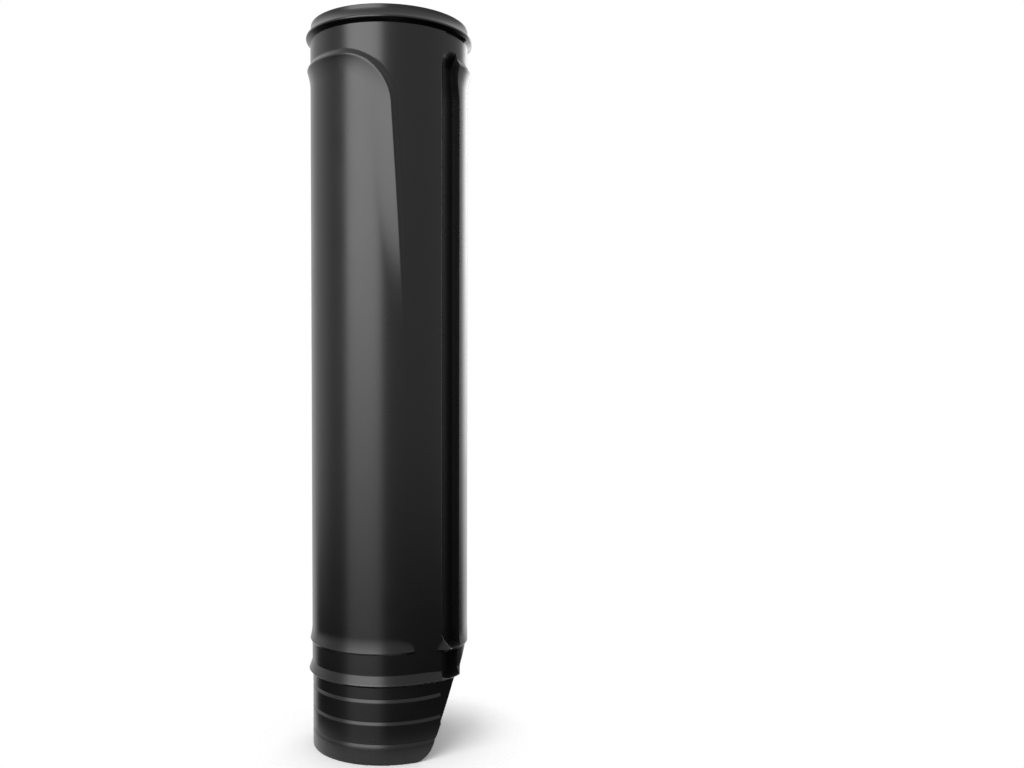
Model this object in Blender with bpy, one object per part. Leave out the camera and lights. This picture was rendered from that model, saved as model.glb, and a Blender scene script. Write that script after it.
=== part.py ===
"""Cover for the upper fork tube of a motorbike, moulded in one piece.

The cover is a thin tube that slides over the tube of the front suspension. It has a bead
under its top rim, a panel whose raised lip runs round the back and arches down at the front,
a sunk flute beside the arch, a flared lower lip, a seat for a tie, a ring, three guide
grooves and a slanted end cut.

Metres, +Z up. The origin is on the tube's axis at the bottom rim. Angles are in degrees
round the axis: 0 is the front (-Y) and 90 is +X.
"""
import math

import bmesh
import bpy

# Tube
HEIGHT = 0.2995
BODY_RADIUS = 0.0330
BODY_TAPER = 0.0005
COLLAR_DROP = 0.0135
WALL = 0.0020
EDGE_ROUND = 0.0004

# Top rim, and the bead and its hollow neck below it
RIM_STEP = 0.0002
RIM_LAND = 0.0007
BEAD_NECK = 0.0048
BEAD_UNDERSIDE = 0.0019
BEAD_PROUD = 0.0018
BEAD_TIP = 0.0009
BEAD_TIP_START = -65.0
BEAD_TIP_END = 55.0

# Panel lip, a step outside its crest line and a flare into the panel
PANEL_DROP = 0.0192
PANEL_LIP_PROUD = 0.0013
PANEL_STEP_WIDTH = 0.0029
PANEL_FLARE_WIDTH = 0.0075
ARCH_RADIUS = 0.0210
ARCH_EDGE_ANGLE = 0.3

# Edge below the arch, where the lip first keeps its size, then narrows and fades
EDGE_SLANT = 3.0
EDGE_FULL_LENGTH = 0.0300
EDGE_FADE_LENGTH = 0.0750
EDGE_FADED_STEP = 0.0012
EDGE_FADED_FLARE = 0.0038

# Flute, a sunk channel from under the collar down to the end cut
FLUTE_NEAR_ANGLE = 38.6
FLUTE_FAR_ANGLE = 59.5
FLUTE_DEPTH = 0.0035
FLUTE_HOLLOW = 1.3
FLUTE_DROP = 0.0131
FLUTE_DOME_HEIGHT = 0.0084
FLUTE_DOME_TIP = 0.45
FLUTE_DOME_SIDE = 0.75
FLUTE_CORNER_SHIFT = 3.5
FLUTE_CORNER_HEIGHT = 0.0130
FLUTE_RAMP_HEIGHT = 0.0020
FLUTE_RING_RAMP = 0.0014
FLUTE_END_DEPTH = 0.0006

# Pocket under the bead, above the flute
POCKET_START_ANGLE = 43.0
POCKET_END_ANGLE = 67.0
POCKET_DROP = 0.0025
POCKET_HEIGHT = 0.0014
POCKET_DEPTH = 0.0010

# Guide grooves for trimming the end
GROOVE_COUNT = 3
GROOVE_FIRST_Z = 0.0069
GROOVE_PITCH = 0.0089
GROOVE_HEIGHT = 0.0015
GROOVE_FLANK = 0.0012
GROOVE_DEPTH = 0.0004

# Ring between the grooved end and the seat
SPIGOT_STEP = 0.0003
SPIGOT_BAND = 0.0044
RING_HEIGHT = 0.0048
RING_CREST_RISE = 0.0012
RING_PROUD = 0.00155
RING_TIP = 0.0005

# Seat for the tie, and the lower lip above it, whose ends fade beside the flute
SEAT_HEIGHT = 0.0082
LIP_CREST_RISE = 0.0008
LIP_PROUD = 0.0008
LIP_HEM_PROUD = 0.0004
LIP_FLARE_HEIGHT = 0.0060
LIP_FADED_FLARE = 0.0018
LIP_FRONT_ANGLE = 17.0
LIP_FRONT_FADE = 19.0
LIP_SIDE_OVERLAP = 3.4
LIP_SIDE_FADE = 7.0

# Slanted end cut on the +X side
CUT_TOP_Z = 0.0487
CUT_FOOT_X = 0.0150
CUT_BOW = 0.0008
CUT_CORNER_RADIUS = 0.0090

# Radii and heights worked out from the sizes above
FOOT_RADIUS = BODY_RADIUS - BODY_TAPER
RIM_RADIUS = BODY_RADIUS - RIM_STEP
SPIGOT_RADIUS = FOOT_RADIUS - SPIGOT_STEP
COLLAR_Z = HEIGHT - COLLAR_DROP
BEAD_CREST_Z = HEIGHT - RIM_LAND - BEAD_NECK
PANEL_CREST_Z = HEIGHT - PANEL_DROP
FLUTE_DOME_Z = HEIGHT - FLUTE_DROP - FLUTE_DOME_HEIGHT
RING_BOTTOM_Z = GROOVE_FIRST_Z + (GROOVE_COUNT - 1) * GROOVE_PITCH + GROOVE_HEIGHT + SPIGOT_BAND
RING_TOP_Z = RING_BOTTOM_Z + RING_HEIGHT
LIP_BOTTOM_Z = RING_TOP_Z + SEAT_HEIGHT
LIP_CREST_Z = LIP_BOTTOM_Z + LIP_CREST_RISE

# Fineness of the facets
TURN_SEGMENTS = 72
ARC_STEPS = 12
FLARE_STEPS = 4

# Working distances of the cutters
OVERCUT = 0.0020
SINK = 0.0010
SKIN = 0.0001
RUN_OUT = 0.04
CUT_INSIDE_RADIUS = 0.0160
CUT_OUTSIDE_X = 0.0420

PLASTIC_COLOUR = (0.012, 0.012, 0.013, 1.0)
PLASTIC_ROUGHNESS = 0.38


def clear_scene():
    """Removes every object that is already there."""
    for old in list(bpy.data.objects):
        bpy.data.objects.remove(old, do_unlink=True)


def link_mesh(name, bm):
    """Makes an object of a bmesh, with its faces pointing out."""
    bmesh.ops.recalc_face_normals(bm, faces=bm.faces)
    mesh = bpy.data.meshes.new(name)
    bm.to_mesh(mesh)
    bm.free()
    made = bpy.data.objects.new(name, mesh)
    bpy.context.scene.collection.objects.link(made)
    return made


def hide_tool(tool):
    """Marks an object as a cutter or a guide."""
    tool.hide_render = True
    tool.display_type = "WIRE"
    return tool


def combine(target, tool, operation):
    """Adds a Boolean modifier that joins or cuts with the tool."""
    modifier = target.modifiers.new(tool.name, "BOOLEAN")
    modifier.operation = operation
    modifier.solver = "EXACT"
    modifier.object = tool


def on_tube(angle, radius, z):
    """A point by its angle round the axis, its radius and its height."""
    turn = math.radians(angle)
    return (radius * math.sin(turn), -radius * math.cos(turn), z)


def smooth(share):
    """Runs from 0 to 1 with level ends."""
    share = min(max(share, 0.0), 1.0)
    return share * share * (3.0 - 2.0 * share)


def between(start, end, share):
    """The value at a share of the way from start to end."""
    return start + (end - start) * share


def spread(start, end, steps):
    """Evenly spaced values from start to end."""
    return [between(start, end, i / steps) for i in range(steps + 1)]


def facet_angles(low, high):
    """The angles between low and high at which two facets of the body meet."""
    pitch = 360.0 / TURN_SEGMENTS
    return [pitch * i for i in range(math.floor(low / pitch) + 1, math.ceil(high / pitch))]


def degrees_along(length):
    """The angle that an arc of this length takes up on the body."""
    return math.degrees(length / BODY_RADIUS)


def arc_length(angle):
    """The length along the body of an arc of this angle."""
    return BODY_RADIUS * math.radians(angle)


def body_radius(z):
    """Outer radius of the body, which narrows from the collar to the ring."""
    share = (z - RING_TOP_Z) / (COLLAR_Z - RING_TOP_Z)
    return between(FOOT_RADIUS, BODY_RADIUS, min(max(share, 0.0), 1.0))


def turned(name, outline):
    """Turns an outline of (radius, z) points round the axis and closes both ends flat."""
    bm = bmesh.new()
    points = [bm.verts.new((0.0, -radius, z)) for radius, z in outline]
    edges = [bm.edges.new(pair) for pair in zip(points, points[1:])]
    bmesh.ops.spin(bm, geom=points + edges, cent=(0, 0, 0), axis=(0, 0, 1), steps=TURN_SEGMENTS,
                   angle=math.tau, use_merge=True)
    bmesh.ops.holes_fill(bm, edges=bm.edges)
    return link_mesh(name, bm)


def skin_rings(bm, rings):
    """Skins a row of rings that have the same number of points, and caps both ends."""
    rows = [[bm.verts.new(point) for point in ring] for ring in rings]
    for lower, upper in zip(rows, rows[1:]):
        for i in range(len(lower)):
            bm.faces.new((lower[i - 1], lower[i], upper[i], upper[i - 1]))
    bm.faces.new(rows[0])
    bm.faces.new(list(reversed(rows[-1])))


def lofted(name, *lofts):
    """Makes one tool of one or more lofts, each given as its rings."""
    bm = bmesh.new()
    for rings in lofts:
        skin_rings(bm, rings)
    return hide_tool(link_mesh(name, bm))


def groove_outline():
    """Guide grooves from the lowest up, each with a long lower flank and a short upper one."""
    outline = []
    for i in range(GROOVE_COUNT):
        low = GROOVE_FIRST_Z + i * GROOVE_PITCH
        outline.append((SPIGOT_RADIUS, low))
        outline.append((SPIGOT_RADIUS - GROOVE_DEPTH, low + GROOVE_FLANK))
        outline.append((SPIGOT_RADIUS, low + GROOVE_HEIGHT))
    return outline


def ring_outline():
    """The ring, with a sharp underside, a blunt crest and a long upper bevel."""
    crest = SPIGOT_RADIUS + RING_PROUD
    crest_z = RING_BOTTOM_Z + RING_CREST_RISE
    return [(SPIGOT_RADIUS, RING_BOTTOM_Z), (crest - RING_TIP, crest_z - RING_TIP),
            (crest, crest_z), (crest - 0.5 * RING_TIP, crest_z + RING_TIP),
            (FOOT_RADIUS, RING_TOP_Z)]


def bead_outline():
    """From the collar over the bead and its hollow neck up to the top rim."""
    tip_radius = BODY_RADIUS + BEAD_PROUD - BEAD_TIP
    outline = [(BODY_RADIUS, BEAD_CREST_Z - BEAD_UNDERSIDE)]
    for angle in spread(BEAD_TIP_START, BEAD_TIP_END, FLARE_STEPS):
        turn = math.radians(angle)
        outline.append((tip_radius + BEAD_TIP * math.cos(turn),
                        BEAD_CREST_Z + BEAD_TIP * math.sin(turn)))
    neck_radius, neck_z = outline[-1]
    for share in spread(0.0, 1.0, FLARE_STEPS)[1:]:
        outline.append((between(RIM_RADIUS, neck_radius, (1.0 - share) ** 2),
                        between(neck_z, HEIGHT - RIM_LAND, share)))
    outline.append((RIM_RADIUS - EDGE_ROUND, HEIGHT))
    return outline


def make_body():
    """The outer form as one solid turning, before anything is cut into it."""
    outline = [(SPIGOT_RADIUS - EDGE_ROUND, 0.0), (SPIGOT_RADIUS, EDGE_ROUND)]
    outline += groove_outline()
    outline += ring_outline()
    outline.append((BODY_RADIUS, COLLAR_Z))
    outline += bead_outline()
    return turned("cover", outline)


def panel_lip_path():
    """Crest line of the panel's lip, as (arc length, z, direction, size) from the flute round
    the back, over the arch and down the fading edge. The direction is in radians from +arc."""
    edge_turn = math.radians(90.0 - EDGE_SLANT)
    centre_s = arc_length(ARCH_EDGE_ANGLE) - ARCH_RADIUS * math.sin(edge_turn)
    centre_z = PANEL_CREST_Z - ARCH_RADIUS
    flute_middle = between(FLUTE_NEAR_ANGLE, FLUTE_FAR_ANGLE, 0.5)
    angles = facet_angles(flute_middle - 360.0, degrees_along(centre_s))
    path = [(arc_length(angle), PANEL_CREST_Z, 0.0, 1.0) for angle in angles]
    for turn in spread(0.0, edge_turn, ARC_STEPS):
        path.append((centre_s + ARCH_RADIUS * math.sin(turn),
                     centre_z + ARCH_RADIUS * math.cos(turn), -turn, 1.0))
    last_s, last_z = path[-1][:2]
    for share in spread(0.0, 1.0, ARC_STEPS):
        along = EDGE_FULL_LENGTH + EDGE_FADE_LENGTH * share
        path.append((last_s + along * math.cos(edge_turn), last_z - along * math.sin(edge_turn),
                     -edge_turn, 1.0 - smooth(share)))
    return path


def panel_lip_section(s, z, direction, size):
    """Section of the lip across its crest line: a step outside, a flare into the panel."""
    step = between(EDGE_FADED_STEP, PANEL_STEP_WIDTH, size)
    flare = between(EDGE_FADED_FLARE, PANEL_FLARE_WIDTH, size)
    across = [(-step, -SINK)]
    for share in spread(1.0, 0.0, FLARE_STEPS):
        across.append((-step * share, PANEL_LIP_PROUD * size * smooth(1.0 - share) - SKIN))
    for share in spread(0.0, 1.0, FLARE_STEPS)[1:]:
        across.append((flare * share, PANEL_LIP_PROUD * size * (1.0 - share) ** 2 - SKIN))
    across.append((flare, -SINK))
    ring = []
    for offset, rise in across:
        point_s = s + offset * math.sin(direction)
        point_z = z - offset * math.cos(direction)
        ring.append(on_tube(degrees_along(point_s), body_radius(point_z) + rise, point_z))
    return ring


def lower_lip_section(angle, size):
    """Section of the lower lip: a short underside, a crest and a hollow flare above it."""
    base = body_radius(LIP_CREST_Z)
    flare = between(LIP_FADED_FLARE, LIP_FLARE_HEIGHT, size)
    ring = [on_tube(angle, base - SINK, LIP_BOTTOM_Z),
            on_tube(angle, base + LIP_HEM_PROUD * size - SKIN, LIP_BOTTOM_Z)]
    for share in spread(0.0, 1.0, FLARE_STEPS):
        z = LIP_CREST_Z + flare * share
        rise = LIP_PROUD * size * (1.0 - share) ** 2
        ring.append(on_tube(angle, body_radius(z) + rise - SKIN, z))
    ring.append(on_tube(angle, base - SINK, LIP_CREST_Z + flare))
    return ring


def lower_lip_path():
    """The lower lip from its end at the front round the back to its end beside the flute, as
    (angle, size)."""
    stations = []
    for turn in spread(0.0, 0.5 * math.pi, ARC_STEPS // 2):
        stations.append((LIP_FRONT_ANGLE - LIP_FRONT_FADE * (1.0 - math.cos(turn)), math.sin(turn)))
    last = FLUTE_NEAR_ANGLE + LIP_SIDE_OVERLAP - 360.0
    stations += [(angle, 1.0) for angle in reversed(facet_angles(last, stations[-1][0]))]
    for share in spread(1.0, 0.0, FLARE_STEPS):
        stations.append((last - LIP_SIDE_FADE * (1.0 - share), share))
    return stations


def make_lips():
    """The panel's lip and the lower lip, as one tool of two lengths."""
    panel = [panel_lip_section(*place) for place in panel_lip_path()]
    lower = [lower_lip_section(*place) for place in lower_lip_path()]
    return lofted("lips", panel, lower)


def flute_far_angle(z):
    """The far wall's angle, which the flared corner of the panel pushes back near the top."""
    share = (z - (FLUTE_DOME_Z - FLUTE_CORNER_HEIGHT)) / FLUTE_CORNER_HEIGHT
    return FLUTE_FAR_ANGLE - FLUTE_CORNER_SHIFT * smooth(share)


def flute_fall(share):
    """Depth of the flute's floor at a share of its width, from the near edge to the far wall."""
    return FLUTE_DEPTH * (1.0 - (1.0 - share) ** FLUTE_HOLLOW)


def flute_section(z, depth_share, width_share=1.0, lift=0.0):
    """Section of the flute's cutter: a floor that slopes down from the near edge to the far
    wall. The lift raises it off the body, over what stands out of it there."""
    radius = body_radius(z) + lift + SKIN
    outside = BODY_RADIUS + BEAD_PROUD + OVERCUT
    tip = between(FLUTE_NEAR_ANGLE, flute_far_angle(z), FLUTE_DOME_SIDE)
    near = between(tip, FLUTE_NEAR_ANGLE, width_share)
    far = between(tip, flute_far_angle(z), width_share)
    ring = [on_tube(near, outside, z)]
    for share in spread(0.0, 1.0, FLARE_STEPS):
        floor = radius - flute_fall(share) * depth_share
        ring.append(on_tube(between(near, far, share), floor, z))
    ring.append(on_tube(far, outside, z))
    return ring


def end_recess_section(z):
    """Section of the level recess in which the flute ends, across the guide grooves."""
    outside = BODY_RADIUS + BEAD_PROUD + OVERCUT
    floor = SPIGOT_RADIUS - FLUTE_END_DEPTH
    angles = spread(FLUTE_NEAR_ANGLE, FLUTE_FAR_ANGLE, FLARE_STEPS)
    ring = [on_tube(FLUTE_NEAR_ANGLE, outside, z)]
    ring += [on_tube(angle, floor, z) for angle in angles]
    ring.append(on_tube(FLUTE_FAR_ANGLE, outside, z))
    return ring


def flute_dome():
    """Sections of the flute's rounded top, which narrows and runs out through the surface."""
    sections = []
    for share in spread(0.0, 1.0, ARC_STEPS // 2)[1:]:
        depth = 1.0 - smooth(share) * (1.0 + RUN_OUT)
        width = math.sqrt(1.0 - (1.0 - FLUTE_DOME_TIP ** 2) * share ** 2)
        sections.append(flute_section(FLUTE_DOME_Z + FLUTE_DOME_HEIGHT * share, depth, width))
    return sections


def make_flute():
    """Cutter of the flute in two lengths, parted by the lower lip, and of the recess below
    the ring."""
    ring_crest_z = RING_BOTTOM_Z + RING_CREST_RISE
    over_ring = SPIGOT_RADIUS + RING_PROUD - FOOT_RADIUS + SKIN
    corner_z = FLUTE_DOME_Z - FLUTE_CORNER_HEIGHT
    upper = [flute_section(LIP_CREST_Z, 0.0, lift=LIP_PROUD + SKIN)]
    upper.append(flute_section(LIP_CREST_Z + FLUTE_RAMP_HEIGHT, 1.0))
    upper += [flute_section(z, 1.0) for z in spread(corner_z, FLUTE_DOME_Z, FLARE_STEPS)]
    upper += flute_dome()
    middle = [flute_section(ring_crest_z, 0.0, lift=over_ring)]
    middle += [flute_section(z, 1.0) for z in (ring_crest_z + FLUTE_RING_RAMP, LIP_BOTTOM_Z - SKIN)]
    lower = [end_recess_section(z) for z in (-OVERCUT, RING_BOTTOM_Z - SKIN)]
    return lofted("flute", upper, middle, lower)


def backing_section(z, depth_share):
    """Section of the rib that backs the flute inside the hollow, one wall behind its floor."""
    far = FLUTE_FAR_ANGLE + degrees_along(WALL)
    root = body_radius(z) - SINK
    bore = body_radius(z) - WALL + SKIN
    ring = [on_tube(far, root, z), on_tube(FLUTE_NEAR_ANGLE, root, z)]
    for share in spread(0.0, 1.0, FLARE_STEPS):
        angle = between(FLUTE_NEAR_ANGLE, FLUTE_FAR_ANGLE, share)
        ring.append(on_tube(angle, bore - flute_fall(share) * depth_share, z))
    ring.append(on_tube(far, bore - FLUTE_DEPTH * depth_share, z))
    return ring


def make_flute_backing():
    """The rib behind the flute, which runs out below the ring and above the dome."""
    top_z = FLUTE_DOME_Z + WALL
    rings = [backing_section(RING_BOTTOM_Z - WALL, 0.0)]
    rings += [backing_section(z, 1.0) for z in (RING_BOTTOM_Z + SINK, top_z)]
    for share in spread(0.0, 1.0, ARC_STEPS // 2)[1:]:
        rings.append(backing_section(top_z + FLUTE_DOME_HEIGHT * share, 1.0 - smooth(share)))
    return lofted("flute_backing", rings)


def make_hollow():
    """The space inside the cover, one wall inside the body and notched round the flute."""
    outline = [(SPIGOT_RADIUS - WALL, -OVERCUT), (SPIGOT_RADIUS - WALL, RING_BOTTOM_Z),
               (FOOT_RADIUS - WALL, RING_TOP_Z), (BODY_RADIUS - WALL, COLLAR_Z),
               (BODY_RADIUS - WALL, HEIGHT + OVERCUT)]
    hollow = hide_tool(turned("hollow", outline))
    combine(hollow, make_flute_backing(), "DIFFERENCE")
    return hollow


def make_pocket():
    """Cutter of the shallow pocket under the bead."""
    low_z = BEAD_CREST_Z - POCKET_DROP
    high_z = low_z + POCKET_HEIGHT
    inside = BODY_RADIUS - POCKET_DEPTH
    outside = BODY_RADIUS + BEAD_PROUD + OVERCUT
    corners = ((inside, low_z), (outside, low_z), (outside, high_z), (inside, high_z))
    rings = []
    for angle in spread(POCKET_START_ANGLE, POCKET_END_ANGLE, FLARE_STEPS):
        rings.append([on_tube(angle, radius, z) for radius, z in corners])
    return lofted("pocket", rings)


def end_cut_outline():
    """The cut seen from the front, as (x, z) from the bottom rim over its round corner up."""
    corner_turn = 0.5 * math.pi - math.atan2(SPIGOT_RADIUS - CUT_FOOT_X, CUT_TOP_Z)
    centre_x = CUT_FOOT_X - CUT_CORNER_RADIUS * math.tan(0.5 * corner_turn)
    outline = []
    for turn in spread(0.0, corner_turn, FLARE_STEPS):
        outline.append((centre_x + CUT_CORNER_RADIUS * math.sin(turn),
                        CUT_CORNER_RADIUS * (1.0 - math.cos(turn))))
    start_x, start_z = outline[-1]
    for share in spread(0.0, 1.0, ARC_STEPS)[1:]:
        bow = 4.0 * CUT_BOW * share * (1.0 - share)
        outline.append((between(start_x, SPIGOT_RADIUS, share) + bow,
                        between(start_z, CUT_TOP_Z, share)))
    return outline


def end_cut_section(x, z):
    """Level section of the end cut's tool, whose two faces point at the axis."""
    turn = math.asin(min(x / SPIGOT_RADIUS, 1.0 - SKIN))
    inner = (CUT_INSIDE_RADIUS * math.sin(turn), CUT_INSIDE_RADIUS * math.cos(turn))
    outer = (CUT_OUTSIDE_X, CUT_OUTSIDE_X / math.tan(turn))
    front = [(px, -py, z) for px, py in (inner, outer)]
    back = [(px, py, z) for px, py in (outer, inner)]
    return front + back


def make_end_cut():
    """Cutter of the slanted end, from below the bottom rim to the top of the cut."""
    outline = end_cut_outline()
    rings = [end_cut_section(outline[0][0], -OVERCUT)]
    rings += [end_cut_section(x, z) for x, z in outline]
    return lofted("end_cut", rings)


def make_plastic():
    """Black moulded plastic."""
    plastic = bpy.data.materials.new("black_plastic")
    plastic.use_nodes = True
    shader = plastic.node_tree.nodes["Principled BSDF"]
    shader.inputs["Base Color"].default_value = PLASTIC_COLOUR
    shader.inputs["Roughness"].default_value = PLASTIC_ROUGHNESS
    shader.inputs["Metallic"].default_value = 0.0
    return plastic


def make_cover():
    """Joins the lips to the turned body, then cuts the flute, the pocket, the hollow and the end."""
    cover = make_body()
    combine(cover, make_lips(), "UNION")
    combine(cover, make_flute(), "DIFFERENCE")
    combine(cover, make_pocket(), "DIFFERENCE")
    combine(cover, make_hollow(), "DIFFERENCE")
    combine(cover, make_end_cut(), "DIFFERENCE")
    cover.data.materials.append(make_plastic())
    cover.data.shade_smooth()
    return cover


clear_scene()
make_cover()
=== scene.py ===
"""Looks of the fork tube cover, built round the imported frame.

The frame's faceted solid is replaced by one fine moulded skin of the same form: rings of points
whose radius is worked out from the angle round the axis and the height. Metres, +Z up, angles in
degrees round the axis, with 0 at the front (-Y) and 90 at +X.
"""

import math

import bmesh
import bpy
import numpy as np
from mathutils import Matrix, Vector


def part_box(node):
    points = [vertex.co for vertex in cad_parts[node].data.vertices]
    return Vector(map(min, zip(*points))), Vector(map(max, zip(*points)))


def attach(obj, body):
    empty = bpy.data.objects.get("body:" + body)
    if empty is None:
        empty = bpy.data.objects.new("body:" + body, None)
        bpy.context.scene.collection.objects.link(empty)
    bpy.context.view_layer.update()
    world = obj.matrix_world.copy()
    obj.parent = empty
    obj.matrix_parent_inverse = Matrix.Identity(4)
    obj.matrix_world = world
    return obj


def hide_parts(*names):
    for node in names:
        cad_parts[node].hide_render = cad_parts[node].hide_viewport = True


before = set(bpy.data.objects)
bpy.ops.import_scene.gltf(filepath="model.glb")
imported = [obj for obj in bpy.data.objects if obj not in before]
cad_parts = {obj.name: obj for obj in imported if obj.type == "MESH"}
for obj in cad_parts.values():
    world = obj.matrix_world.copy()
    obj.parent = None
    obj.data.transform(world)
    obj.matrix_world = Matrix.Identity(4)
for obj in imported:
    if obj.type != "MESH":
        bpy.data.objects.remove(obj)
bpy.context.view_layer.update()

# Digits that the heights of the grid's rows are rounded to
ROW_DIGITS = 6

# Tube, as high as the frame's cover. The middle of a rounded rim edge is cut back by the corner share.
HEIGHT = round(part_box("cover")[1].z, ROW_DIGITS)
BODY_RADIUS = 0.0330
BODY_TAPER = 0.0005
COLLAR_DROP = 0.0135
WALL = 0.0020
EDGE_ROUND = 0.0004
CORNER_SHARE = 0.3
INNER_ROUND = 0.0002

# Top rim, and the bead and its hollow neck below it
RIM_STEP = 0.0002
RIM_LAND = 0.0007
BEAD_NECK = 0.0048
BEAD_UNDERSIDE = 0.0019
BEAD_PROUD = 0.0018
BEAD_TIP = 0.0009
BEAD_TIP_START = -65.0
BEAD_TIP_END = 55.0

# Panel lip, a step outside its crest line and a flare into the panel. It starts in the flute and
# runs round the back to the arch at the front.
PANEL_DROP = 0.0192
PANEL_START_ANGLE = 50.0
PANEL_LIP_PROUD = 0.0013
PANEL_STEP_WIDTH = 0.0029
PANEL_FLARE_WIDTH = 0.0075
ARCH_RADIUS = 0.0210
ARCH_EDGE_ANGLE = 0.6

# Straight edge below the arch, where the lip first keeps its size, then narrows and fades
EDGE_SLANT = 3.5
EDGE_FULL_LENGTH = 0.0300
EDGE_FADE_LENGTH = 0.0750
EDGE_FADED_STEP = 0.0012
EDGE_FADED_FLARE = 0.0038

# Flute, a sunk channel with a domed top. Its floor falls away from the near edge, faster with a
# larger hollow value. The shelf is a low three-cornered part above the lower lip, beside the near
# edge, where the floor hasn't sunk yet. At the dome, the floor rises past level by the run-out, a
# share of its depth. The skin is the gap by which it clears the body where it isn't sunk.
FLUTE_NEAR_ANGLE = 38.6
FLUTE_FAR_ANGLE = 59.5
FLUTE_SEAT_FAR_ANGLE = 56.3
FLUTE_DEPTH = 0.0035
FLUTE_HOLLOW = 3.0
FLUTE_DROP = 0.0131
FLUTE_DOME_HEIGHT = 0.0084
FLUTE_DOME_TIP = 0.45
FLUTE_DOME_SIDE = 0.75
FLUTE_CORNER_SHIFT = 3.5
FLUTE_CORNER_HEIGHT = 0.0130
FLUTE_RAMP_HEIGHT = 0.0014
FLUTE_SHELF_HEIGHT = 0.0052
FLUTE_SHELF_WIDTH = 0.46
FLUTE_RING_RAMP = 0.0014
FLUTE_END_DEPTH = 0.0006
RUN_OUT = 0.04
SKIN = 0.0001

# Rib behind the flute's floor, which has its full depth this far above the ring's bottom
RIB_RISE = 0.0010

# Pocket under the bead
POCKET_START_ANGLE = 43.0
POCKET_END_ANGLE = 67.0
POCKET_DROP = 0.0025
POCKET_HEIGHT = 0.0014
POCKET_DEPTH = 0.0010

# Guide grooves round the lower end
GROOVE_COUNT = 3
GROOVE_FIRST_Z = 0.0069
GROOVE_PITCH = 0.0089
GROOVE_HEIGHT = 0.0015
GROOVE_FLANK = 0.0012
GROOVE_DEPTH = 0.0004

# Ring between the grooved end and the seat
SPIGOT_STEP = 0.0003
SPIGOT_BAND = 0.0044
RING_HEIGHT = 0.0048
RING_CREST_RISE = 0.0012
RING_PROUD = 0.00155
RING_TIP = 0.0005

# Seat above the ring, and the lower lip above the seat. The lip runs round the back, with one end
# fading out at the front and the other at the flute's near edge.
SEAT_HEIGHT = 0.0082
LIP_CREST_RISE = 0.0008
LIP_PROUD = 0.0008
LIP_HEM_PROUD = 0.0004
LIP_FLARE_HEIGHT = 0.0060
LIP_FADED_FLARE = 0.0018
LIP_FRONT_ANGLE = 17.0
LIP_FRONT_FADE = 19.0
LIP_SIDE_ANGLE = 35.0
LIP_SIDE_FADE = 7.0

# Sag of the lower lip on the flute's side, full within the reach of its centre on both sides. It
# starts above the grooves.
SAG = 0.0017
SAG_CENTRE_ANGLE = 90.0
SAG_REACH = 42.0
SAG_FADE = 26.0
SAG_FULL_Z = 0.0410
SAG_RUN_OUT = 0.0120

# Slanted end cut on the +X side
CUT_TOP_Z = 0.0487
CUT_FOOT_X = 0.0150
CUT_BOW = 0.0008
CUT_CORNER_RADIUS = 0.0090

# Radii and heights worked out from the sizes above
FOOT_RADIUS = BODY_RADIUS - BODY_TAPER
RIM_RADIUS = BODY_RADIUS - RIM_STEP
SPIGOT_RADIUS = FOOT_RADIUS - SPIGOT_STEP
COLLAR_Z = HEIGHT - COLLAR_DROP
NECK_TOP_Z = HEIGHT - RIM_LAND
BEAD_CREST_Z = NECK_TOP_Z - BEAD_NECK
PANEL_CREST_Z = HEIGHT - PANEL_DROP
FLUTE_TOP_Z = HEIGHT - FLUTE_DROP
FLUTE_DOME_Z = FLUTE_TOP_Z - FLUTE_DOME_HEIGHT
POCKET_BOTTOM_Z = BEAD_CREST_Z - POCKET_DROP
POCKET_TOP_Z = POCKET_BOTTOM_Z + POCKET_HEIGHT
GROOVE_TOP_Z = GROOVE_FIRST_Z + (GROOVE_COUNT - 1) * GROOVE_PITCH + GROOVE_HEIGHT
RING_BOTTOM_Z = round(GROOVE_TOP_Z + SPIGOT_BAND, ROW_DIGITS)
RING_CREST_Z = RING_BOTTOM_Z + RING_CREST_RISE
RING_TOP_Z = RING_BOTTOM_Z + RING_HEIGHT
LIP_BOTTOM_Z = RING_TOP_Z + SEAT_HEIGHT
LIP_CREST_Z = LIP_BOTTOM_Z + LIP_CREST_RISE

# Columns of the skin's grid, which move sideways in the band along the fading edge and beside the
# flute's walls. None move at the plain angle, nor outside the panel's side and the back angle.
PANEL_SIDE_ANGLE = -45.0
EDGE_BAND_START = -6.0
EDGE_BAND_END = 10.0
PLAIN_ANGLE = 28.0
NEAR_STRIP = 1.8
FAR_STRIP = 2.5
BACK_ANGLE = 75.0
NEAR_STRIP_END = FLUTE_NEAR_ANGLE + NEAR_STRIP
FAR_STRIP_END = FLUTE_FAR_ANGLE + FAR_STRIP

# Stretches of the turn and of the height, as start, end and spacing
COLUMNS = ((-180.0, -95.0, 2.5), (-95.0, PANEL_SIDE_ANGLE, 1.8),
           (PANEL_SIDE_ANGLE, EDGE_BAND_START, 1.1), (EDGE_BAND_START, EDGE_BAND_END, 0.6),
           (EDGE_BAND_END, LIP_SIDE_ANGLE, 1.25), (LIP_SIDE_ANGLE, FLUTE_NEAR_ANGLE, 0.6),
           (FLUTE_NEAR_ANGLE, NEAR_STRIP_END, 0.3), (NEAR_STRIP_END, FLUTE_FAR_ANGLE, 0.95),
           (FLUTE_FAR_ANGLE, FAR_STRIP_END, 0.5), (FAR_STRIP_END, 72.5, 1.0), (72.5, 180.0, 2.15))
ROWS = ((EDGE_ROUND, GROOVE_FIRST_Z, 0.0009), (GROOVE_FIRST_Z, 0.0420, 0.0004),
        (0.0420, 0.0515, 0.0003), (0.0515, 0.1600, 0.0060), (0.1600, 0.2560, 0.0016),
        (0.2560, 0.2912, 0.0004), (0.2912, HEIGHT - EDGE_ROUND, 0.0003))

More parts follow.
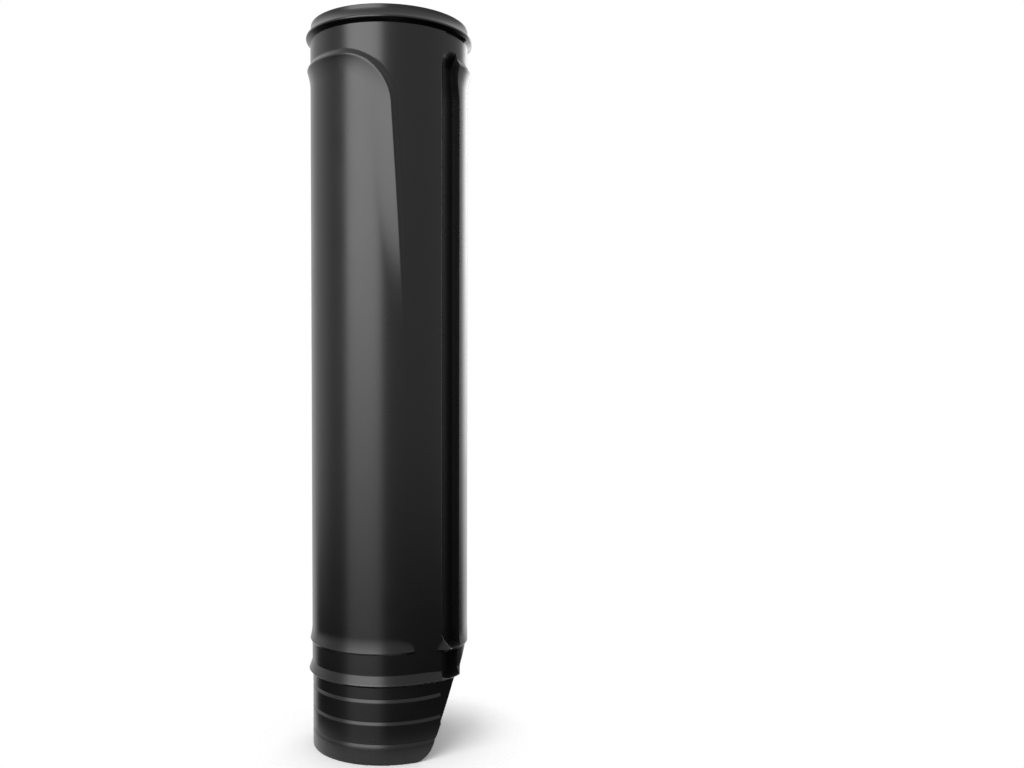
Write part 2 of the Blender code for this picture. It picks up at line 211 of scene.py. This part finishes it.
# Turn over which the flute's far wall stands up, and height from a sharp step to the rows beside it
WALL_TURN = 0.1
STEP = 0.00002

# Counts of points or rows in the parts that have their own
ARC_POINTS = 9
CUT_CORNER_POINTS = 13
CUT_POINTS = 25
DOME_ROWS = 25
INNER_ROWS = 12
INNER_SEAT_ROWS = 6
INNER_FOOT_ROWS = 8

# Depth below the top rim at which the inner rows start
INNER_DROP = 0.0040

# Distances under which the skin's points are merged and thin faces dissolved, and the angle from
# which an edge is shown sharp
MERGE_DISTANCE = 0.000002
THIN_DISTANCE = 0.000001
SHARP_ANGLE = 38.0

# Black plastic: darkest and lightest tone, sheen, fine moulded grain and slow clouds of sheen
BLACK_DARK = (0.0015, 0.0015, 0.0016, 1.0)
BLACK_LIGHT = (0.0025, 0.0025, 0.0026, 1.0)
ROUGHNESS_LOW = 0.25
ROUGHNESS_HIGH = 0.31
GRAIN_SCALE = 2600.0
GRAIN_DETAIL = 2.0
GRAIN_STRENGTH = 0.25
GRAIN_DEPTH = 0.00002
CLOUD_SCALE = 60.0
CLOUD_DETAIL = 3.0

# Plain white
WHITE = (1.0, 1.0, 1.0, 1.0)

# Pale floor, which fades out away from the foot
FLOOR_RADIUS = 0.08
FLOOR_SIDES = 96
FLOOR_COLOUR = (0.85, 0.85, 0.85, 1.0)
FLOOR_ROUGHNESS = 0.9
FLOOR_FADE_START = 0.033
FLOOR_FADE_END = 0.066

# Surroundings, set by the parts of the direction looked in: the levels in front of the cover and
# behind it, the share by which the right side counts as further forward, the gain overhead, the
# fade below and the white backdrop
FRONT_LEVEL = 0.60
BACK_LEVEL = 0.85
RIGHT_SHARE = 0.6
BACK_START = 0.05
BACK_END = 0.35
OVERHEAD_START = 0.35
OVERHEAD_END = 0.80
OVERHEAD_GAIN = 1.5
UNDER_START = -0.11
UNDER_END = -0.22
UNDER_LEVEL = 0.0
BACKDROP_START = 0.68
BACKDROP_END = 0.77

# Heights that a softbox is at full strength above and at its dim level below
DIM_START_Z = 0.48
DIM_END_Z = -0.20
DIM_LEVEL = 0.13

# The photograph's camera, fitted to the cover's rims, grooves and edges
CAMERA_PLACE = (0.0, -0.4323, 0.1541)
CAMERA_TILT = 89.484
CAMERA_TURN = -6.869
CAMERA_LENS = 35.55
SENSOR_WIDTH = 36.0
CLIP_START = 0.01


def smooth(share):
    """Runs from 0 to 1 with level ends."""
    share = np.clip(share, 0.0, 1.0)
    return share * share * (3.0 - 2.0 * share)


def between(start, end, share):
    """Value at a share of the way from start to end."""
    return start + (end - start) * share


def stretches(parts):
    """Grid lines of stretches given as (start, end, spacing)."""
    lines = []
    for start, end, spacing in parts:
        count = max(1, round((end - start) / spacing))
        lines += [between(start, end, i / count) for i in range(count)]
    return lines


def bead_points():
    """Outline of the bead's round tip and of the hollow neck above it."""
    points = []
    tip = BODY_RADIUS + BEAD_PROUD - BEAD_TIP
    for angle in np.linspace(BEAD_TIP_START, BEAD_TIP_END, ARC_POINTS):
        turn = math.radians(angle)
        points.append((BEAD_CREST_Z + BEAD_TIP * math.sin(turn), tip + BEAD_TIP * math.cos(turn)))
    neck_z, neck_radius = points[-1]
    for share in np.linspace(0.0, 1.0, ARC_POINTS)[1:]:
        points.append((between(neck_z, NECK_TOP_Z, share),
                       between(RIM_RADIUS, neck_radius, (1.0 - share) ** 2)))
    return points


def profile_points():
    """Outline of the turned form as (z, radius) points from the bottom rim up."""
    corner = CORNER_SHARE * EDGE_ROUND
    points = [(0.0, SPIGOT_RADIUS - EDGE_ROUND), (corner, SPIGOT_RADIUS - corner),
              (EDGE_ROUND, SPIGOT_RADIUS)]
    for i in range(GROOVE_COUNT):
        low = GROOVE_FIRST_Z + i * GROOVE_PITCH
        points += [(low, SPIGOT_RADIUS), (low + GROOVE_FLANK, SPIGOT_RADIUS - GROOVE_DEPTH),
                   (low + GROOVE_HEIGHT, SPIGOT_RADIUS)]
    crest = SPIGOT_RADIUS + RING_PROUD
    points += [(RING_BOTTOM_Z, SPIGOT_RADIUS), (RING_CREST_Z - RING_TIP, crest - RING_TIP),
               (RING_CREST_Z, crest), (RING_CREST_Z + RING_TIP, crest - 0.5 * RING_TIP),
               (RING_TOP_Z, FOOT_RADIUS), (COLLAR_Z, BODY_RADIUS),
               (BEAD_CREST_Z - BEAD_UNDERSIDE, BODY_RADIUS)]
    points += bead_points()
    points += [(HEIGHT - EDGE_ROUND, RIM_RADIUS), (HEIGHT - corner, RIM_RADIUS - corner),
               (HEIGHT, RIM_RADIUS - EDGE_ROUND)]
    return points


PROFILE = np.array(profile_points())


def body_radius(z):
    """Radius of the body without its lips."""
    return np.interp(z, (RING_TOP_Z, COLLAR_Z), (FOOT_RADIUS, BODY_RADIUS))


def panel_lip(angle, z):
    """How far the panel's lip stands out of the body. The crest line runs level round the back,
    down a round arch and on down a slanted straight edge."""
    edge_turn = math.radians(90.0 - EDGE_SLANT)
    centre = BODY_RADIUS * math.radians(ARCH_EDGE_ANGLE) - ARCH_RADIUS * math.sin(edge_turn)
    turned = np.where(angle > PANEL_START_ANGLE, angle - 360.0, angle)
    across = BODY_RADIUS * np.radians(turned) - centre
    up = z - (PANEL_CREST_Z - ARCH_RADIUS)
    turn = np.arctan2(across, up)
    inward_arc = ARCH_RADIUS - np.hypot(across, up)
    inward_edge = ARCH_RADIUS - across * math.sin(edge_turn) - up * math.cos(edge_turn)
    along = across * math.cos(edge_turn) - up * math.sin(edge_turn)
    on_edge = (across > 0.0) & (turn > edge_turn)
    inward = np.where(across <= 0.0, ARCH_RADIUS - up, np.where(on_edge, inward_edge, inward_arc))
    size = np.where(on_edge, 1.0 - smooth((along - EDGE_FULL_LENGTH) / EDGE_FADE_LENGTH), 1.0)
    step = between(EDGE_FADED_STEP, PANEL_STEP_WIDTH, size)
    flare = between(EDGE_FADED_FLARE, PANEL_FLARE_WIDTH, size)
    outside = smooth(1.0 + inward / step)
    inside = np.clip(1.0 - inward / flare, 0.0, 1.0) ** 2
    return PANEL_LIP_PROUD * size * np.where(inward < 0.0, outside, inside)


def lower_lip(angle, z):
    """How far the lower lip stands out of the body."""
    ahead = np.clip((LIP_FRONT_ANGLE - angle) / LIP_FRONT_FADE, 0.0, 1.0)
    front = np.sqrt(1.0 - (1.0 - ahead) ** 2)
    side = np.clip((angle - LIP_SIDE_ANGLE) / LIP_SIDE_FADE, 0.0, 1.0)
    size = np.where(angle < LIP_FRONT_ANGLE, front, side)
    flare = between(LIP_FADED_FLARE, LIP_FLARE_HEIGHT, size)
    above = LIP_PROUD * np.clip(1.0 - (z - LIP_CREST_Z) / flare, 0.0, 1.0) ** 2
    hem = between(LIP_HEM_PROUD, LIP_PROUD, (z - LIP_BOTTOM_Z) / LIP_CREST_RISE)
    return size * np.where(z > LIP_CREST_Z, above, np.where(z < LIP_BOTTOM_Z, 0.0, hem))


def dome_share(z):
    """How far up the flute's dome a height lies."""
    return np.clip((z - FLUTE_DOME_Z) / FLUTE_DOME_HEIGHT, 0.0, 1.0)


def flute_angles(z):
    """Near and far angle of the flute at a height."""
    corner = smooth((z - FLUTE_DOME_Z + FLUTE_CORNER_HEIGHT) / FLUTE_CORNER_HEIGHT)
    panel_far = FLUTE_FAR_ANGLE - FLUTE_CORNER_SHIFT * corner
    far = np.where(z < LIP_BOTTOM_Z, FLUTE_SEAT_FAR_ANGLE, panel_far)
    tip = between(FLUTE_NEAR_ANGLE, far, FLUTE_DOME_SIDE)
    width = np.sqrt(1.0 - (1.0 - FLUTE_DOME_TIP ** 2) * dome_share(z) ** 2)
    return between(tip, FLUTE_NEAR_ANGLE, width), between(tip, far, width)


def flute_fall(share):
    """How far the flute's floor lies down at a share of its width."""
    return FLUTE_DEPTH * (1.0 - (1.0 - share) ** FLUTE_HOLLOW)


def flute_floor(angle, z):
    """Radius of the flute's floor, which comes up over the lower lip, at the ring and at the dome."""
    near, far = flute_angles(z)
    share = np.clip((angle - near) / (far - near), 0.0, 1.0)
    over_ring = SPIGOT_RADIUS + RING_PROUD - FOOT_RADIUS + SKIN
    over_lip = LIP_PROUD + SKIN
    heights = (RING_CREST_Z, RING_CREST_Z + FLUTE_RING_RAMP, LIP_BOTTOM_Z - STEP, LIP_BOTTOM_Z,
               LIP_CREST_Z, LIP_CREST_Z + FLUTE_RAMP_HEIGHT)
    shelf = FLUTE_SHELF_HEIGHT * np.clip(1.0 - share / FLUTE_SHELF_WIDTH, 0.0, 1.0)
    above = np.where(z > LIP_CREST_Z, np.maximum(z - shelf, LIP_CREST_Z), z)
    depth = np.interp(above, heights, (0.0, 1.0, 1.0, 0.0, 0.0, 1.0))
    depth = depth - smooth(dome_share(z)) * (1.0 + RUN_OUT)
    lift = np.interp(above, heights, (over_ring, 0.0, 0.0, over_lip, over_lip, 0.0))
    level = np.where(z < RING_BOTTOM_Z, SPIGOT_RADIUS - FLUTE_END_DEPTH, SPIGOT_RADIUS + RING_PROUD)
    return np.where(z < RING_CREST_Z, level, body_radius(z) + lift + SKIN - flute_fall(share) * depth)


def outer_radius(angle, z):
    """Radius of the outer skin."""
    radius = np.interp(z, PROFILE[:, 0], PROFILE[:, 1]) + panel_lip(angle, z) + lower_lip(angle, z)
    near, far = flute_angles(z)
    inside = (angle > near) & (angle <= far) & (z < FLUTE_TOP_Z)
    radius = np.where(inside, np.minimum(radius, flute_floor(angle, z)), radius)
    pocket = (angle > POCKET_START_ANGLE) & (angle < POCKET_END_ANGLE)
    pocket &= (z > POCKET_BOTTOM_Z) & (z < POCKET_TOP_Z)
    return np.where(pocket, BODY_RADIUS - POCKET_DEPTH, radius)


def inner_radius(angle, z):
    """Radius of the hollow, which the rib behind the flute narrows."""
    heights = (RING_BOTTOM_Z, RING_TOP_Z, COLLAR_Z)
    bore = np.interp(z, heights, (SPIGOT_RADIUS, FOOT_RADIUS, BODY_RADIUS)) - WALL
    reach = math.degrees(WALL / BODY_RADIUS)
    share = np.clip((angle - FLUTE_NEAR_ANGLE) / (FLUTE_FAR_ANGLE - FLUTE_NEAR_ANGLE), 0.0, 1.0)
    depth = np.interp(z, (RING_BOTTOM_Z - WALL, RING_BOTTOM_Z + RIB_RISE), (0.0, 1.0))
    depth = depth - smooth((z - FLUTE_DOME_Z - WALL) / FLUTE_DOME_HEIGHT)
    rib = body_radius(z) - WALL + SKIN - flute_fall(share) * depth
    inside = (angle > FLUTE_NEAR_ANGLE) & (angle < FLUTE_FAR_ANGLE + reach)
    return np.where(inside, np.minimum(bore, rib), bore)


def end_cut_height(angle):
    """Height at which the end cut trims the tube: a rounded foot, then a slightly bowed slant."""
    corner_turn = 0.5 * math.pi - math.atan2(SPIGOT_RADIUS - CUT_FOOT_X, CUT_TOP_Z)
    centre_x = CUT_FOOT_X - CUT_CORNER_RADIUS * math.tan(0.5 * corner_turn)
    turns = np.linspace(0.0, corner_turn, CUT_CORNER_POINTS)
    corner_x = centre_x + CUT_CORNER_RADIUS * np.sin(turns)
    corner_z = CUT_CORNER_RADIUS * (1.0 - np.cos(turns))
    shares = np.linspace(0.0, 1.0, CUT_POINTS)[1:]
    bow = 4.0 * CUT_BOW * shares * (1.0 - shares)
    slant_x = between(corner_x[-1], SPIGOT_RADIUS, shares) + bow
    slant_z = between(corner_z[-1], CUT_TOP_Z, shares)
    return np.interp(SPIGOT_RADIUS * np.sin(np.radians(angle)),
                     np.concatenate((corner_x, slant_x)), np.concatenate((corner_z, slant_z)))


def sag(angle, z):
    """How much lower the lower lip and the top of the end cut lie on the flute's side."""
    side = 1.0 - smooth((np.abs(angle - SAG_CENTRE_ANGLE) - SAG_REACH) / SAG_FADE)
    start = smooth((z - GROOVE_TOP_Z) / (SAG_FULL_Z - GROOVE_TOP_Z))
    end = 1.0 - smooth((z - LIP_CREST_Z - LIP_FLARE_HEIGHT) / SAG_RUN_OUT)
    return SAG * side * start * end


def warped(column, z):
    """Moves the grid's columns sideways so that they follow the fading edge and the flute's walls."""
    arch_foot = PANEL_CREST_Z - ARCH_RADIUS
    slant = math.tan(math.radians(EDGE_SLANT)) / BODY_RADIUS
    drop = np.clip(arch_foot - z, 0.0, EDGE_FULL_LENGTH + EDGE_FADE_LENGTH)
    edge = math.degrees(drop * slant)
    near, far = flute_angles(z)
    fixed = (-180.0, PANEL_SIDE_ANGLE, EDGE_BAND_START, EDGE_BAND_END, PLAIN_ANGLE,
             FLUTE_NEAR_ANGLE, FLUTE_FAR_ANGLE, FAR_STRIP_END, BACK_ANGLE, 180.0)
    moved = (-180.0, PANEL_SIDE_ANGLE, EDGE_BAND_START + edge, EDGE_BAND_END + edge, PLAIN_ANGLE,
             near, far, far + FAR_STRIP, BACK_ANGLE, 180.0)
    return np.interp(column, fixed, moved)


def outer_heights():
    """Heights of the outer rings from the bottom rim up, with close rows at each sharp step."""
    heights = stretches(ROWS) + list(PROFILE[:, 0])
    steps = (RING_BOTTOM_Z, LIP_BOTTOM_Z, POCKET_BOTTOM_Z, POCKET_TOP_Z)
    heights += [z + shift for z in steps for shift in (-STEP, STEP)]
    heights += list(np.linspace(FLUTE_DOME_Z, FLUTE_TOP_Z, DOME_ROWS))
    heights += [RING_CREST_Z + FLUTE_RING_RAMP, LIP_CREST_Z, LIP_CREST_Z + FLUTE_RAMP_HEIGHT]
    return sorted(set(round(z, ROW_DIGITS) for z in heights))


def inner_heights():
    """Heights of the inner rings from the top rim down."""
    heights = [HEIGHT, HEIGHT - INNER_ROUND]
    heights += list(np.linspace(HEIGHT - INNER_DROP, FLUTE_DOME_Z, INNER_ROWS))
    heights += list(np.linspace(FLUTE_DOME_Z, LIP_BOTTOM_Z, INNER_ROWS)[1:])
    heights += list(np.linspace(LIP_BOTTOM_Z, RING_BOTTOM_Z, INNER_SEAT_ROWS)[1:])
    heights += list(np.linspace(RING_BOTTOM_Z - WALL, INNER_ROUND, INNER_FOOT_ROWS))
    return heights + [0.0]


def ring(columns, z, radius_at, round_off):
    """One ring of points at a height, lifted where the end cut trims the tube."""
    angle = warped(columns, z)
    level = np.maximum(z, end_cut_height(angle))
    radius = radius_at(angle, level) + round_off
    turn = np.radians(angle)
    height = level - sag(angle, level)
    return np.stack((radius * np.sin(turn), -radius * np.cos(turn), height), axis=1).tolist()


def skin_rings():
    """Rings of points from the bottom rim up the outside and back down the inside."""
    columns = np.array(sorted(set(stretches(COLUMNS) + [FLUTE_FAR_ANGLE + WALL_TURN])))
    rings = [ring(columns, z, outer_radius, 0.0) for z in outer_heights()]
    for z in inner_heights():
        round_off = INNER_ROUND if z in (0.0, HEIGHT) else 0.0
        rings.append(ring(columns, z, inner_radius, round_off))
    return rings


def build_skin():
    """The moulded skin as one closed mesh."""
    bm = bmesh.new()
    rows = [[bm.verts.new(point) for point in points] for points in skin_rings()]
    rows.append(rows[0])
    for lower, upper in zip(rows, rows[1:]):
        for i in range(len(lower)):
            bm.faces.new((lower[i - 1], lower[i], upper[i], upper[i - 1]))
    bmesh.ops.remove_doubles(bm, verts=bm.verts, dist=MERGE_DISTANCE)
    bmesh.ops.dissolve_degenerate(bm, edges=bm.edges, dist=THIN_DISTANCE)
    bmesh.ops.recalc_face_normals(bm, faces=bm.faces)
    for face in bm.faces:
        face.smooth = True
    mesh = bpy.data.meshes.new("moulded_cover")
    bm.to_mesh(mesh)
    bm.free()
    mesh.set_sharp_from_angle(angle=math.radians(SHARP_ANGLE))
    made = bpy.data.objects.new("moulded_cover", mesh)
    bpy.context.scene.collection.objects.link(made)
    return made


def satin_plastic():
    """Black injection moulded plastic: satin, with a faint grain and slow changes of sheen."""
    material = bpy.data.materials.new("black_plastic")
    material.use_nodes = True
    nodes = material.node_tree.nodes
    links = material.node_tree.links
    shader = nodes["Principled BSDF"]
    place = nodes.new("ShaderNodeTexCoord")
    grain = nodes.new("ShaderNodeTexNoise")
    grain.inputs["Scale"].default_value = GRAIN_SCALE
    grain.inputs["Detail"].default_value = GRAIN_DETAIL
    cloud = nodes.new("ShaderNodeTexNoise")
    cloud.inputs["Scale"].default_value = CLOUD_SCALE
    cloud.inputs["Detail"].default_value = CLOUD_DETAIL
    sheen = nodes.new("ShaderNodeMapRange")
    sheen.inputs["To Min"].default_value = ROUGHNESS_LOW
    sheen.inputs["To Max"].default_value = ROUGHNESS_HIGH
    tone = nodes.new("ShaderNodeMix")
    tone.data_type = "RGBA"
    tone.inputs["A"].default_value = BLACK_DARK
    tone.inputs["B"].default_value = BLACK_LIGHT
    bump = nodes.new("ShaderNodeBump")
    bump.inputs["Strength"].default_value = GRAIN_STRENGTH
    bump.inputs["Distance"].default_value = GRAIN_DEPTH
    links.new(place.outputs["Object"], grain.inputs["Vector"])
    links.new(place.outputs["Object"], cloud.inputs["Vector"])
    links.new(cloud.outputs["Fac"], sheen.inputs["Value"])
    links.new(cloud.outputs["Fac"], tone.inputs["Factor"])
    links.new(grain.outputs["Fac"], bump.inputs["Height"])
    links.new(tone.outputs["Result"], shader.inputs["Base Color"])
    links.new(sheen.outputs["Result"], shader.inputs["Roughness"])
    links.new(bump.outputs["Normal"], shader.inputs["Normal"])
    return material


def soft_step(tree, source, low, high, below, above):
    """Value that runs smoothly from one level to another while the source passes from low to high."""
    step = tree.nodes.new("ShaderNodeMapRange")
    step.interpolation_type = "SMOOTHSTEP"
    step.inputs["From Min"].default_value = low
    step.inputs["From Max"].default_value = high
    step.inputs["To Min"].default_value = below
    step.inputs["To Max"].default_value = above
    tree.links.new(source, step.inputs["Value"])
    return step.outputs["Result"]


def worked_out(tree, operation, first, second):
    """Result of one sum on two values, each a socket or a number."""
    node = tree.nodes.new("ShaderNodeMath")
    node.operation = operation
    for socket, value in zip(node.inputs, (first, second)):
        if isinstance(value, float):
            socket.default_value = value
        else:
            tree.links.new(value, socket)
    return node.outputs["Value"]


def split(tree, source):
    """The X, Y and Z values of a direction or place."""
    parts = tree.nodes.new("ShaderNodeSeparateXYZ")
    tree.links.new(source, parts.inputs["Vector"])
    return parts.outputs["X"], parts.outputs["Y"], parts.outputs["Z"]


def add_floor():
    """Pale floor that fades into the world's light away from the cover."""
    bpy.ops.mesh.primitive_circle_add(vertices=FLOOR_SIDES, radius=FLOOR_RADIUS, fill_type="NGON")
    floor = bpy.context.object
    floor.name = "floor"
    material = bpy.data.materials.new("pale_floor")
    material.use_nodes = True
    tree = material.node_tree
    shader = tree.nodes["Principled BSDF"]
    shader.inputs["Base Color"].default_value = FLOOR_COLOUR
    shader.inputs["Roughness"].default_value = FLOOR_ROUGHNESS
    place = tree.nodes.new("ShaderNodeTexCoord")
    reach = tree.nodes.new("ShaderNodeVectorMath")
    reach.operation = "LENGTH"
    tree.links.new(place.outputs["Object"], reach.inputs[0])
    fade = soft_step(tree, reach.outputs["Value"], FLOOR_FADE_START, FLOOR_FADE_END, 1.0, 0.0)
    tree.links.new(fade, shader.inputs["Alpha"])
    floor.data.materials.append(material)


def add_world():
    """Plain pale surroundings: a white background behind the cover, which its sheen shows too, and
    dimmer light from the sides and the front, which fades out below."""
    world = bpy.data.worlds.new("studio")
    bpy.context.scene.world = world
    world.use_nodes = True
    tree = world.node_tree
    background = tree.nodes["Background"]
    background.inputs["Color"].default_value = WHITE
    place = tree.nodes.new("ShaderNodeTexCoord")
    x, y, z = split(tree, place.outputs["Generated"])
    right = worked_out(tree, "MAXIMUM", x, 0.0)
    depth = worked_out(tree, "SUBTRACT", y, worked_out(tree, "MULTIPLY", right, RIGHT_SHARE))
    sides = soft_step(tree, depth, BACK_START, BACK_END, FRONT_LEVEL, BACK_LEVEL)
    overhead = soft_step(tree, z, OVERHEAD_START, OVERHEAD_END, 1.0, OVERHEAD_GAIN)
    under = soft_step(tree, z, UNDER_END, UNDER_START, UNDER_LEVEL, 1.0)
    light = worked_out(tree, "MULTIPLY", sides, worked_out(tree, "MULTIPLY", overhead, under))
    ray = tree.nodes.new("ShaderNodeLightPath").outputs
    mirrored = worked_out(tree, "MAXIMUM", ray["Is Glossy Ray"], ray["Is Transmission Ray"])
    reach = soft_step(tree, y, BACKDROP_START, BACKDROP_END, 0.0, 1.0)
    seen = worked_out(tree, "MULTIPLY", mirrored, reach)
    white = worked_out(tree, "MAXIMUM", ray["Is Camera Ray"], seen)
    backdrop = tree.nodes.new("ShaderNodeMix")
    backdrop.inputs["B"].default_value = 1.0
    tree.links.new(white, backdrop.inputs["Factor"])
    tree.links.new(light, backdrop.inputs["A"])
    tree.links.new(backdrop.outputs["Result"], background.inputs["Strength"])


def add_softbox(name, azimuth, distance, low_z, high_z, width, radiance):
    """Upright soft light that faces the axis and dims downwards. Azimuth 0 is in front, 90 at +X."""
    light = bpy.data.lights.new(name, "AREA")
    light.shape = "RECTANGLE"
    light.size = width
    light.size_y = high_z - low_z
    light.energy = radiance * math.pi * light.size * light.size_y
    light.use_nodes = True
    tree = light.node_tree
    place = tree.nodes.new("ShaderNodeNewGeometry")
    height = split(tree, place.outputs["Position"])[2]
    strength = soft_step(tree, height, DIM_END_Z, DIM_START_Z, DIM_LEVEL, 1.0)
    tree.links.new(strength, tree.nodes["Emission"].inputs["Strength"])
    made = bpy.data.objects.new(name, light)
    turn = math.radians(azimuth)
    made.location = (distance * math.sin(turn), -distance * math.cos(turn), 0.5 * (low_z + high_z))
    made.rotation_euler = (math.radians(90.0), 0.0, turn)
    made.visible_camera = False
    bpy.context.scene.collection.objects.link(made)


def add_camera():
    """The photograph's camera."""
    camera = bpy.data.cameras.new("camera")
    camera.sensor_width = SENSOR_WIDTH
    camera.lens = CAMERA_LENS
    camera.clip_start = CLIP_START
    made = bpy.data.objects.new("camera", camera)
    made.location = CAMERA_PLACE
    made.rotation_euler = (math.radians(CAMERA_TILT), 0.0, math.radians(CAMERA_TURN))
    bpy.context.scene.collection.objects.link(made)
    bpy.context.scene.camera = made


add_camera()
skin = build_skin()
skin.data.materials.append(satin_plastic())
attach(skin, "root")
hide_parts("cover")

add_floor()
add_world()
add_softbox("key_softbox", azimuth=-38.0, distance=0.75, low_z=-0.30, high_z=1.00, width=0.72,
            radiance=4.4)
add_softbox("rim_softbox", azimuth=147.0, distance=0.90, low_z=-0.20, high_z=0.60, width=0.42,
            radiance=2.8)
bpy.context.scene.view_settings.view_transform = "Standard"
